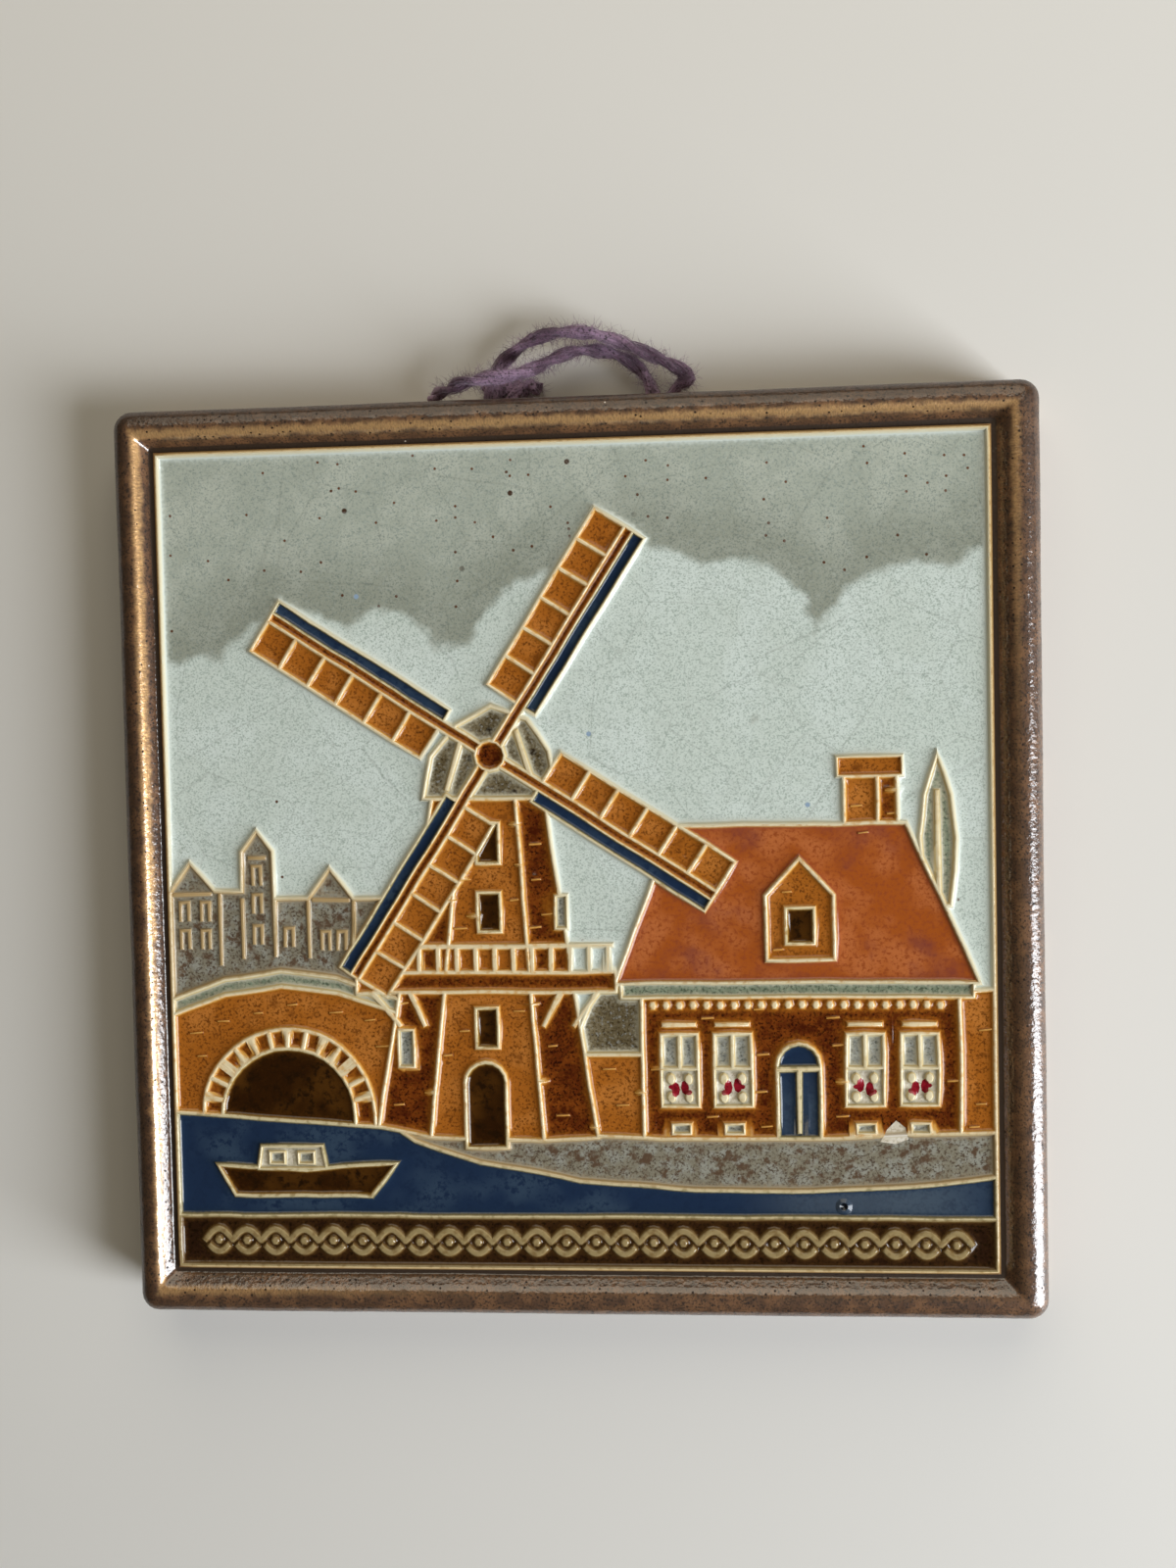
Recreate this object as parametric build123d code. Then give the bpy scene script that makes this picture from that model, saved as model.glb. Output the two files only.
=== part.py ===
from build123d import *
import os
from math import cos, pi, radians, sin, tan

# Small square relief tile, lying on its back: a moulded frame round a sunken picture panel,
# a recessed back inside a foot rim, and a yarn loop through two holes in the top rim.
# X runs to the right of the picture, Y to its top, Z up out of the glazed face.
# Origin: middle of the foot rim's underside.

# Body
TILE_WIDTH = 110.0          # along X at the foot
TILE_HEIGHT = 110.0         # along Y at the foot
TILE_THICKNESS = 11.0       # foot to the crest of the frame bead
WALL_DRAFT = 2.0            # degrees, the face is a little smaller than the foot
CORNER_RADIUS = 2.2         # in plan
SHOULDER_RADIUS = 1.9       # outer roll of the bead
BEAD_INNER_RADIUS = 1.6     # inner roll of the bead

# Frame, from the foot's edge to the picture panel: a little uneven, as the mould was cut
FRAME_LEFT = 5.15
FRAME_RIGHT = 5.85
FRAME_TOP = 5.3
FRAME_BOTTOM = 5.7
GROOVE_WIDTH = 0.6          # round the panel, at its floor
GROOVE_DEPTH = 1.8          # below the bead's crest
GROOVE_SLOPE = 38.0         # degrees off the vertical, inner flank of the bead
GROOVE_CORNER = 0.4         # in plan, at the groove's floor

# Picture panel
PANEL_DROP = 1.0            # raised outlines below the bead's crest
GLAZE_DEPTH = 0.5           # glaze cells below the tops of the outlines
RIDGE_WIDTH = 0.75          # raised outlines between the cells and round the panel
SMALLEST_CELL = 3.0         # square mm, smaller gaps between outlines hold no glaze

# Back
FOOT_WIDTH = 6.0
RECESS_DEPTH = 5.0
RECESS_RADIUS = 3.0

# Hanging holes, pierced through the top foot rim
HOLE_DIAMETER = 3.8
HOLE_SPACING = 20.0
HOLE_SHIFT_X = 1.0
HOLE_Z = 2.9

# Yarn
YARN_DIAMETER = 1.4
STRAND_GAP = 0.25           # between the two strands in a hole

PANEL_WIDTH = TILE_WIDTH - FRAME_LEFT - FRAME_RIGHT
PANEL_HEIGHT = TILE_HEIGHT - FRAME_TOP - FRAME_BOTTOM
PANEL_X = (FRAME_LEFT - FRAME_RIGHT) / 2
PANEL_Y = (FRAME_BOTTOM - FRAME_TOP) / 2
RIDGE_Z = TILE_THICKNESS - PANEL_DROP
GROOVE_Z = TILE_THICKNESS - GROOVE_DEPTH


# Picture: outlines in hundredths of the panel from its lower left corner

def at(x, y):
    return (PANEL_X + (x / 100 - 0.5) * PANEL_WIDTH, PANEL_Y + (y / 100 - 0.5) * PANEL_HEIGHT)


def outline(*points):
    return make_face(Polyline(*[at(x, y) for x, y in points], close=True))


def box(left, bottom, right, top):
    return outline((left, bottom), (right, bottom), (right, top), (left, top))


def arch(left, right, foot, spring):
    # Door or bridge opening with a half round head
    rise = (right - left) / 2 * PANEL_WIDTH / PANEL_HEIGHT
    head = ThreePointArc(at(left, spring), at((left + right) / 2, spring + rise),
                         at(right, spring))
    legs = Polyline(at(right, spring), at(right, foot), at(left, foot), at(left, spring))
    return make_face(Curve() + head + legs)


def background():
    far_town = outline((0, 18), (0, 46.6), (3, 50.2), (6, 46.6), (9.4, 46.6), (9.4, 51.4), (11.4, 54),
                       (13.4, 51.4), (13.4, 45.6), (17.6, 45.6), (20.4, 49.4), (23.2, 45.6),
                       (31, 45.6), (31, 18))
    shed = box(50, 15, 60, 27)
    shed_roof = outline((49, 26.4), (53, 35.2), (61, 35.2), (61, 26.4))
    poplar = outline((92.6, 44), (91.2, 52), (93.4, 62), (95.4, 52), (94.6, 44))
    return [far_town, shed, shed_roof, poplar]


def bridge():
    wall = outline((0, 17), (0, 33.4), (7, 35.8), (14, 36.8), (21, 36), (28, 33.4), (34, 29.8),
                   (34, 15))
    ring = arch(3.8, 25.2, 17, 19)
    water_gate = arch(6.2, 22.8, 17, 19)
    return [wall, ring, water_gate]


def canal():
    water = outline((0, 6.6), (0, 19.4), (8, 18.9), (20, 18), (30, 17.2), (40, 15), (100, 12),
                    (100, 6.6))
    quay = outline((26.4, 18.3), (32, 18.7), (46, 17), (60, 16.2), (78, 16.2), (100, 17),
                   (100, 11.7), (90, 10.5), (78, 9.8), (64, 9.9), (50, 11.1), (38, 13.3), (30, 15.9))
    return [water, quay]


def farmhouse():
    chimney = box(82.4, 50, 88.6, 60.6)
    wall = box(58, 15, 95.6, 36)
    roof = outline((54.8, 34.8), (62.2, 53.8), (89.6, 53.8), (98, 34.8))
    dormer = outline((73, 37.6), (73, 45.4), (77, 49.8), (81, 45.4), (81, 37.6))
    pieces = [chimney, wall, roof, dormer, box(75, 39.4, 79, 44.4), arch(74, 79.2, 14, 25)]
    for left in (60.2, 66.6, 82.2, 88.6):
        pieces.append(box(left, 20.2, left + 4.4, 28.8))
    return pieces


def mill():
    left_face = outline((25.6, 17.6), (33.2, 58), (36.8, 58), (32, 16.4))
    middle_face = outline((32, 16.4), (36.8, 58), (43.2, 58), (45.8, 15.8))
    right_face = outline((45.8, 15.8), (43.2, 58), (46.6, 58), (52.4, 16.4))
    door = arch(36.4, 41.4, 15, 23)
    gallery = box(23.4, 34, 55, 36.4)
    cap = outline((32, 57.4), (33.2, 62.6), (36.4, 66.4), (40.6, 68.6), (45, 66.8), (47.4, 63),
                  (48.4, 57.4))
    pieces = [left_face, middle_face, right_face, door, box(37.6, 27.2, 41, 32), gallery]
    for bottom in (41.4, 49.6):
        pieces.append(box(38.2, bottom, 41.6, bottom + 5))
    return pieces + [cap]


def sails():
    # Four sails, each with six bays of lattice beside its pole
    hub_x, hub_y = 40.4, 62.6
    pole = 0.55
    sail_width = 4.8
    first_bay = 7.0
    bay = 4.1
    bays = 6
    pieces = []
    for angle in (57, 147, 237, 327):
        along = (cos(radians(angle)), sin(radians(angle)))

        def spot(reach, side):
            return (hub_x + along[0] * reach - along[1] * side,
                    hub_y + along[1] * reach + along[0] * side)

        def strip(start, end, near, far):
            return outline(spot(start, near), spot(end, near), spot(end, far), spot(start, far))

        for number in range(bays):
            start = first_bay + number * bay
            pieces.append(strip(start, start + bay, pole, sail_width))
        tip = first_bay + bays * bay
        pieces.append(strip(first_bay, tip, -2.1, -pole))
        pieces.append(strip(1.0, tip, -pole, pole))
    return pieces


def glaze_cells():
    # Every shape covers what lies behind it and has a raised outline along its edge.
    field = Pos(PANEL_X, PANEL_Y) * Rectangle(PANEL_WIDTH - 2 * RIDGE_WIDTH,
                                              PANEL_HEIGHT - 2 * RIDGE_WIDTH)
    cells = field
    shapes = background() + farmhouse() + bridge() + canal() + mill() + sails()
    shapes.append(box(0, 0, 100, 6.6))
    for shape in shapes:
        cells -= offset(shape, RIDGE_WIDTH / 2, kind=Kind.INTERSECTION)
        cells += offset(shape, -RIDGE_WIDTH / 2, kind=Kind.INTERSECTION)
    return Sketch() + [cell for cell in (cells & field).faces() if cell.area > SMALLEST_CELL]


def make_tile():
    base = RectangleRounded(TILE_WIDTH, TILE_HEIGHT, CORNER_RADIUS)
    body = extrude(base, TILE_THICKNESS, taper=WALL_DRAFT)

    # Sunken panel bed, with the sloping inner flank of the frame bead
    flank = GROOVE_DEPTH * tan(radians(GROOVE_SLOPE))
    bed_width = PANEL_WIDTH + 2 * GROOVE_WIDTH
    bed_height = PANEL_HEIGHT + 2 * GROOVE_WIDTH
    bed = Pos(PANEL_X, PANEL_Y, TILE_THICKNESS) * RectangleRounded(
        bed_width + 2 * flank, bed_height + 2 * flank, GROOVE_CORNER + flank)
    body -= extrude(bed, -GROOVE_DEPTH, taper=GROOVE_SLOPE)

    crest = body.faces().sort_by(Axis.Z)[-1]
    body = fillet(crest.outer_wire().edges(), SHOULDER_RADIUS)
    crest = body.faces().sort_by(Axis.Z)[-1]
    body = fillet(crest.inner_wires()[0].edges(), BEAD_INNER_RADIUS)

    # Picture panel
    panel = Pos(PANEL_X, PANEL_Y, GROOVE_Z) * Rectangle(PANEL_WIDTH, PANEL_HEIGHT)
    body += extrude(panel, RIDGE_Z - GROOVE_Z)
    body -= extrude(Pos(0, 0, RIDGE_Z) * glaze_cells(), -GLAZE_DEPTH)

    # Recessed back inside the foot rim
    recess = RectangleRounded(
        TILE_WIDTH - 2 * FOOT_WIDTH, TILE_HEIGHT - 2 * FOOT_WIDTH, RECESS_RADIUS)
    body -= extrude(recess, RECESS_DEPTH)

    # Hanging holes through the top rim
    for side in (-1, 1):
        hole_x = HOLE_SHIFT_X + side * HOLE_SPACING / 2
        mouth = Pos(hole_x, TILE_HEIGHT / 2 + 1, HOLE_Z) * Rot(90, 0, 0)
        body -= extrude(mouth * Circle(HOLE_DIAMETER / 2), FOOT_WIDTH + 2)
    return body


def yarn_points():
    # Route of the one yarn, from its loose tail at the left, over the arch, down the right
    # hole, back inside the recess, and once round again to the knot below the arch.
    left = HOLE_SHIFT_X - HOLE_SPACING / 2
    right = HOLE_SHIFT_X + HOLE_SPACING / 2
    side = (YARN_DIAMETER + STRAND_GAP) / 2
    rim = TILE_HEIGHT / 2
    inner = rim - FOOT_WIDTH
    tail = [
        (-17.0, rim + 1.2, 2.6),
        (-13.4, rim + 2.4, 4.2),
        (-9.3, rim + 3.0, 6.0),
        (-5.4, rim + 3.5, 5.4),
        (-2.6, rim + 4.6, 4.0),
    ]
    inner_arch = [
        (0.4, rim + 5.9, 3.4),
        (4.4, rim + 5.6, 3.0),
        (8.0, rim + 4.2, 2.9),
        (right - side, rim + 1.0, HOLE_Z),
    ]
    first_return = [
        (right - side, inner - 0.8, HOLE_Z),
        (right - side - 2.2, inner - 4.2, 3.7),
        (right - side - 6.6, inner - 5.8, 3.9),
        (0.0, inner - 5.4, 3.9),
        (left - side + 5.0, inner - 5.0, 3.9),
        (left - side + 1.4, inner - 3.6, 3.7),
    ]
    outer_arch = [
        (left - side, inner - 0.6, HOLE_Z),
        (left - side, rim + 1.0, HOLE_Z),
        (-9.0, rim + 4.4, 2.6),
        (-5.4, rim + 6.9, 4.4),
        (-1.4, rim + 8.4, 5.4),
        (3.2, rim + 8.0, 5.2),
        (7.4, rim + 6.0, 4.4),
        (11.4, rim + 4.4, 3.6),
        (right + side, rim + 1.0, HOLE_Z),
    ]
    second_return = [
        (right + side, inner - 0.8, HOLE_Z),
        (right + side - 1.0, inner - 4.6, 1.5),
        (right - 4.0, inner - 8.4, 1.1),
        (right - 8.6, inner - 10.0, 1.1),
        (-3.0, inner - 8.8, 1.1),
        (left + side + 1.2, inner - 4.6, 1.5),
    ]
    knot_end = [
        (left + side, inner - 0.6, HOLE_Z),
        (left + side, rim + 1.0, HOLE_Z),
        (-4.6, rim + 3.2, 1.6),
    ]
    return tail + inner_arch + first_return + outer_arch + second_return + knot_end


def bend_radii(points):
    # Each bend is as wide as its two runs allow.
    spots = [Vector(*point) for point in points]
    radii = []
    for before, here, after in zip(spots, spots[1:], spots[2:]):
        run = min((here - before).length, (after - here).length)
        turn = (here - before).get_angle(after - here)
        radii.append(0.45 * run / tan(radians(turn) / 2))
    return radii


def make_yarn():
    points = yarn_points()
    radii = bend_radii(points)
    route = FilletPolyline(*points, radius=radii)
    section = Plane(origin=route @ 0, z_dir=route % 0) * Circle(YARN_DIAMETER / 2)
    yarn = sweep(section, path=route)
    print("yarn bend radii", [round(radius, 1) for radius in radii])
    print("yarn length", round(route.length, 1), "volume", round(yarn.volume, 1),
          "section x length", round(pi * YARN_DIAMETER ** 2 / 4 * route.length, 1))
    return yarn


os.makedirs("parts", exist_ok=True)
export_step(make_tile(), "parts/tile.step")
export_step(make_yarn(), "parts/hanging_yarn.step")
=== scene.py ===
from math import atan2, cos, dist, hypot, pi, radians, sin
import random

import bmesh
import bpy
from mathutils import Matrix, Vector, noise
from mathutils.geometry import delaunay_2d_cdt


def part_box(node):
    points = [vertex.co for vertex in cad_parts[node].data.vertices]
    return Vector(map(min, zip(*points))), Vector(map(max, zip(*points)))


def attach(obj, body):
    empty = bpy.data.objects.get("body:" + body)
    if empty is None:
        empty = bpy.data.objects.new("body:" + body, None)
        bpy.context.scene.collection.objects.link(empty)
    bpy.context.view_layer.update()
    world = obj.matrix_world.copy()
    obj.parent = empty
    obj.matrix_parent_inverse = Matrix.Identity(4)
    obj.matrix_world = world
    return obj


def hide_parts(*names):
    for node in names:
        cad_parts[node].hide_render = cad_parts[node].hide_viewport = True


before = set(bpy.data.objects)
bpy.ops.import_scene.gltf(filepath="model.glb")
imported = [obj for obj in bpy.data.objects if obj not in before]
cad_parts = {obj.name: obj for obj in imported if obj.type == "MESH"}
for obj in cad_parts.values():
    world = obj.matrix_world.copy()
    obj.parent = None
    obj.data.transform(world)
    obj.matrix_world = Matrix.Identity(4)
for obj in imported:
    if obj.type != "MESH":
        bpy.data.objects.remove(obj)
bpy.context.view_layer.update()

# Small square relief tile: a moulded frame with a bronze-brown glaze round a sunken picture,
# whose coloured glazes lie in cells between raised outlines. A yarn loop hangs from its top rim.
# Sizes are in millimetres and become metres through MM.
MM = 0.001

tile_low, tile_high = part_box("tile")
TILE_WIDTH = (tile_high[0] - tile_low[0]) / MM
TILE_HEIGHT = (tile_high[1] - tile_low[1]) / MM
CREST = tile_high[2] / MM - 0.06     # the handmade bead stays just inside its nominal height

PANEL = 99.0                # picture panel over its border ridge
PANEL_X = -0.35             # panel centre from the tile's middle
PANEL_Y = 0.2
GROOVE_Z = 9.2              # floor of the groove round the panel
RIDGE_Z = 10.0              # tops of the raised outlines
RECESS_Z = 5.0              # depth of the hollow back
FOOT_WIDTH = 6.0
HOLE_DIAMETER = 3.8
HOLE_SPACING = 20.0
HOLE_X = 1.0
HOLE_Z = 2.9


def srgb(code):
    """Linear colour of an sRGB hex code."""
    parts = [int(code[i:i + 2], 16) / 255 for i in (1, 3, 5)]
    linear = [c / 12.92 if c <= 0.04045 else ((c + 0.055) / 1.055) ** 2.4 for c in parts]
    return (*linear, 1.0)


def select_only(piece):
    bpy.ops.object.select_all(action="DESELECT")
    bpy.context.view_layer.objects.active = piece
    piece.select_set(True)


def linked(name, data):
    """A new object in the scene with the given data."""
    made = bpy.data.objects.new(name, data)
    bpy.context.collection.objects.link(made)
    return made


def new_piece(name):
    """Adds an empty mesh object and enters its edit mode with nothing else selected."""
    piece = linked(name, bpy.data.meshes.new(name))
    select_only(piece)
    bpy.ops.object.mode_set(mode="EDIT")
    bpy.ops.mesh.select_mode(type="VERT")
    return piece


def settle(piece):
    """Gives a finished piece to the tile's body."""
    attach(piece, "root")


# Moulded frame

FRAME_PROFILE = [
    # share of the way from the tile's middle to the panel's, inset from the foot's edge on a
    # frame of mean width, height, plan radius
    (0.0, 6.6, RECESS_Z, 2.6),
    (0.0, 6.2, RECESS_Z - 0.1, 2.8),
    (0.0, 6.05, RECESS_Z - 0.5, 3.0),
    (0.0, 6.0, 0.5, 3.0),
    (0.0, 5.8, 0.12, 3.0),
    (0.0, 5.3, 0.03, 3.0),
    (0.0, 4.4, 0.02, 2.8),
    (0.0, 2.2, 0.01, 2.3),
    (0.0, 0.6, 0.0, 1.9),
    (0.0, 0.15, 0.16, 2.1),
    (0.0, 0.02, 0.6, 2.2),
]
WALL_TOP = 8.9
OUTER_ROLL = 2.1
INNER_ROLL = 1.65
INNER_ROLL_START = 2.6      # insets on a frame of mean width
FLANK_FOOT = 4.85
GROOVE_INNER = 6.2          # under the panel's edge
LONG_EDGE = 40.0            # edges longer than this are cut
LONG_EDGE_CUTS = 47


def frame_profile():
    """The mould's section from the recess round the outside to the groove, as loops."""
    loops = list(FRAME_PROFILE)
    lean = 0.31
    for height in (3.0, 6.0, WALL_TOP - 0.6):
        loops.append((0.0, lean * height / WALL_TOP, height, 2.2))
    steps = 7
    for i in range(steps + 1):
        angle = radians(90 * i / steps)
        inset = lean + OUTER_ROLL * (1 - cos(angle))
        height = WALL_TOP + (CREST - WALL_TOP) * sin(angle)
        loops.append((0.15 * i / steps, inset, height, max(2.2 - 0.9 * (inset - lean), 0.7)))
    steps = 8
    for i in range(1, steps + 1):
        angle = radians(52 * i / steps)
        inset = INNER_ROLL_START + INNER_ROLL * sin(angle)
        height = CREST - INNER_ROLL * (1 - cos(angle))
        loops.append((0.2 + 0.8 * i / steps, inset, height, 0.6))
    loops.append((1.0, FLANK_FOOT - 0.12, GROOVE_Z + 0.16, 0.5))
    loops.append((1.0, FLANK_FOOT, GROOVE_Z + 0.05, 0.45))
    loops.append((1.0, FLANK_FOOT + 0.14, GROOVE_Z, 0.4))
    loops.append((1.0, GROOVE_INNER, GROOVE_Z - 0.01, 0.4))
    return loops


def select_edges(piece, wanted):
    """In edit mode, selects the edges for which wanted(edge, loops of its two ends) holds."""
    edit = bmesh.from_edit_mesh(piece.data)
    mark = edit.verts.layers.int.get("loop")
    for edge in edit.edges:
        edge.select_set(wanted(edge, [vert[mark] for vert in edge.verts]))
    bmesh.update_edit_mesh(piece.data)


def make_frame():
    """The frame with its walls and hollow back, one loop of the mould's section at a time."""
    piece = new_piece("moulded_frame")
    loops = frame_profile()
    for number, (share, inset, height, radius) in enumerate(loops):
        bpy.ops.mesh.select_all(action="DESELECT")
        bpy.ops.mesh.primitive_plane_add(size=1)
        width = TILE_WIDTH - 2 * inset
        length = TILE_HEIGHT - 2 * inset
        edit = bmesh.from_edit_mesh(piece.data)
        for vert in edit.verts:
            if vert.select:
                vert.co = Vector((vert.co.x * width + share * PANEL_X,
                                  vert.co.y * length + share * PANEL_Y, height)) * MM
        bmesh.update_edit_mesh(piece.data)
        bpy.ops.mesh.bevel(offset=radius * MM, segments=5, affect="VERTICES")
        edit = bmesh.from_edit_mesh(piece.data)
        mark = edit.verts.layers.int.get("loop") or edit.verts.layers.int.new("loop")
        for vert in edit.verts:
            if vert.select:
                vert[mark] = number + 1
        bmesh.update_edit_mesh(piece.data)
        bpy.ops.mesh.delete(type="ONLY_FACE")
    bpy.ops.mesh.select_mode(type="EDGE")
    for number in range(1, len(loops)):
        select_edges(piece, lambda edge, ends: {number, number + 1}.issuperset(ends))
        bpy.ops.mesh.bridge_edge_loops()
    for number in (1, len(loops)):
        select_edges(piece, lambda edge, ends: {number}.issuperset(ends))
        bpy.ops.mesh.edge_face_add()
    # The long sides get cuts, so that the clay can be a little uneven along them.
    select_edges(piece, lambda edge, ends: edge.calc_length() > LONG_EDGE * MM)
    bpy.ops.mesh.subdivide(number_cuts=LONG_EDGE_CUTS)
    bpy.ops.mesh.select_all(action="SELECT")
    bpy.ops.mesh.normals_make_consistent(inside=False)
    bpy.ops.object.mode_set(mode="OBJECT")

    # Hanging holes through the top rim
    for side in (-1, 1):
        bpy.ops.mesh.primitive_cylinder_add(
            vertices=32, radius=HOLE_DIAMETER / 2 * MM, depth=(FOOT_WIDTH + 3) * MM,
            location=((HOLE_X + side * HOLE_SPACING / 2) * MM,
                      (TILE_HEIGHT / 2 - FOOT_WIDTH / 2) * MM, HOLE_Z * MM),
            rotation=(radians(90), 0, 0))
        drill = bpy.context.object
        bpy.context.view_layer.objects.active = piece
        cut = piece.modifiers.new("hanging hole", "BOOLEAN")
        cut.operation = "DIFFERENCE"
        cut.solver = "EXACT"
        cut.object = drill
        bpy.ops.object.modifier_apply(modifier=cut.name)
        bpy.data.objects.remove(drill)

    # Uneven clay on the bead and walls, and none on the foot that it stands on
    for vert in piece.data.vertices:
        rise = min(max(vert.co.z / MM - 1.0, 0) / 3, 1)
        spot = vert.co / MM
        slow = noise.noise_vector(spot / 17.0)
        quick = noise.noise_vector(spot / 3.1 + Vector((9, 4, 7)))
        vert.co += (slow * 0.07 + quick * 0.035) * rise * MM
    return piece


# Picture: glaze cells in painter's order, in hundredths of the panel from its lower left corner

BORDER = 0.4                # crest of the outline round the panel


def arc(cx, cy, rx, ry, start, end, steps):
    angles = [radians(start + (end - start) * i / steps) for i in range(steps + 1)]
    return [(cx + rx * cos(a), cy + ry * sin(a)) for a in angles]


def rectangle(x0, y0, x1, y1):
    return [(x0, y0), (x1, y0), (x1, y1), (x0, y1)]


def ring(x, y, rx, ry, corners):
    return arc(x, y, rx, ry, 0, 360, corners)[:-1]


def stroke(points, width=0.16):
    """Thin outline round a line, which stands up as a single raised ridge."""
    left = []
    right = []
    for i, (x, y) in enumerate(points):
        x0, y0 = points[max(i - 1, 0)]
        x1, y1 = points[min(i + 1, len(points) - 1)]
        length = hypot(x1 - x0, y1 - y0)
        nx = -(y1 - y0) / length * width / 2
        ny = (x1 - x0) / length * width / 2
        left.append((x + nx, y + ny))
        right.append((x - nx, y - ny))
    return left + right[::-1]


def arch(left, right, foot, spring):
    """Opening with a half round head."""
    rise = (right - left) / 2
    head = arc((left + right) / 2, spring, rise, rise, 180, 0, max(8, int(rise * 2)))
    return [(left, foot)] + head + [(right, foot)]


def ridge(*points):
    return ("line", "line", stroke(points))


def low_ridge(*points):
    return ("stone_line", "low", stroke(points, 0.14))


def background():
    yield "stone", "cell", [
        (BORDER, 18), (BORDER, 46.6), (3, 50.2), (6, 46.6), (9.4, 46.6), (9.4, 51.4), (11.4, 54),
        (13.4, 51.4), (13.4, 45.6), (17.6, 45.6), (20.4, 49.4), (23.2, 45.6), (31, 45.6), (31, 18)]
    for x, top, foot in ((9.4, 45.6, 38.4), (13.4, 45.6, 38.6), (17.6, 45.4, 38.4),
                         (23.2, 45.4, 37.4), (6.6, 46.2, 37.6)):
        yield low_ridge((x, top), (x, foot))
    for left, right, y in ((10.4, 12.4, 50.6), (0.8, 5.4, 46.2), (18.2, 22.6, 45.4)):
        yield low_ridge((left, y), (right, y))
    for left, foot in ((1.6, 39.6), (4.2, 39.6), (1.6, 43), (4.2, 43), (10.8, 40.2), (10.8, 44),
                       (10.8, 47.4), (14.6, 39.8), (19.2, 39.4), (21.2, 39.4), (24.6, 39)):
        head = foot + 2.2
        yield low_ridge((left, foot), (left, head), (left + 1, head), (left + 1, foot))
    yield "celadon", "cell", [(92.6, 44), (91.5, 48.6), (91.2, 52), (91.8, 57), (93.4, 62),
                              (94.9, 57), (95.4, 52), (95.2, 48), (94.6, 44)]
    yield ridge((93.2, 45), (93.3, 57.4))
    yield "ochre", "cell", rectangle(50, 15, 60, 27)
    yield "olive", "cell", [(49, 26.4), (53, 35.2), (61, 35.2), (61, 26.4)]


def farmhouse():
    yield "ochre", "cell", rectangle(82.4, 50, 86.3, 60.6)
    yield "brown", "cell", rectangle(86.3, 50, 88.6, 60.6)
    yield "ochre", "fine", rectangle(81.7, 59.4, 89.3, 61.6)
    yield "ochre", "cell", rectangle(90, 15, 100 - BORDER, 34)
    yield "brown", "cell", rectangle(58, 15, 95.6, 36)
    yield "red_roof", "cell", [(54.8, 34.8), (62.2, 53.8), (89.6, 53.8), (98, 34.8)]
    yield "celadon", "fine", rectangle(55.6, 33.2, 97.2, 34.9)
    yield "ochre", "cell", [(73, 37.6), (73, 45.4), (77, 49.8), (81, 45.4), (81, 37.6)]
    yield "amber", "cell", rectangle(75.3, 39.6, 78.7, 44)
    for i in range(22):
        yield "line", "line", ring(59.3 + 1.62 * i, 32.2, 0.22, 0.3, 6)
    for number, left in enumerate((60.2, 66.6, 82.2, 88.6)):
        yield "white", "fine", rectangle(left, 20.2, left + 4.4, 28.8)
        for column in range(2):
            x = left + 2.2 * column
            yield "pane", "cell", rectangle(x, 24.7, x + 2.2, 28.8)
            for row in range(2):
                middle = (left + 1.15 + 2.1 * column, 21.3 + 2.2 * row)
                yield "white", "line", ring(*middle, 0.34, 0.5, 8)
            petal = (left + 1.65 + 1.1 * column, 22.2 + 0.25 * ((number + column) % 3))
            yield "red", "paint", ring(*petal, 0.5, 0.9, 8)
            stray = (left + 1.2 + 2 * column, 22.5 - 0.6 * ((number + column) % 2))
            yield "red", "paint", ring(*stray, 0.42, 0.3, 7)
        yield ridge((left + 0.3, 29.9), (left + 4.1, 29.9))
    yield "cobalt", "cell", arch(74, 79.2, 14, 25)
    yield ridge((74, 24.6), (79.2, 24.6))
    yield ridge((76.6, 24.6), (76.6, 17))
    for left in (61.4, 67.8, 83.4, 89.8):
        yield "pane", "fine", rectangle(left, 16.8, left + 2.2, 18)


def bridge():
    wall = [(BORDER, 17), (BORDER, 33.4), (7, 35.8), (14, 36.8), (21, 36), (28, 33.4), (34, 29.8)]
    yield "ochre", "cell", wall + [(34, 15)]
    yield "celadon", "cell", wall[1:] + [(x, y - 1.9) for x, y in reversed(wall[1:])]
    yield "brown", "cell", arch(3.8, 25.2, 17, 19)
    stones = 14
    for i in range(1, stones):
        angle = radians(180 - 180 / stones * i)
        yield ridge(*[(14.5 + reach * cos(angle), 19 + reach * sin(angle))
                      for reach in (8.5, 10.5)])
    yield "amber", "cell", arch(6.2, 22.8, 17, 19)


def canal():
    yield "cobalt", "cell", [(BORDER, 6.6), (BORDER, 19.4), (8, 18.9), (20, 18), (30, 17.2),
                             (40, 15), (100 - BORDER, 12), (100 - BORDER, 6.6)]
    yield "stone", "cell", [
        (26.4, 18.3), (32, 18.7), (46, 17), (60, 16.2), (78, 16.2), (100 - BORDER, 17),
        (100 - BORDER, 11.7), (90, 10.5), (78, 9.8), (64, 9.9), (50, 11.1), (38, 13.3), (30, 15.9)]


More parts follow.
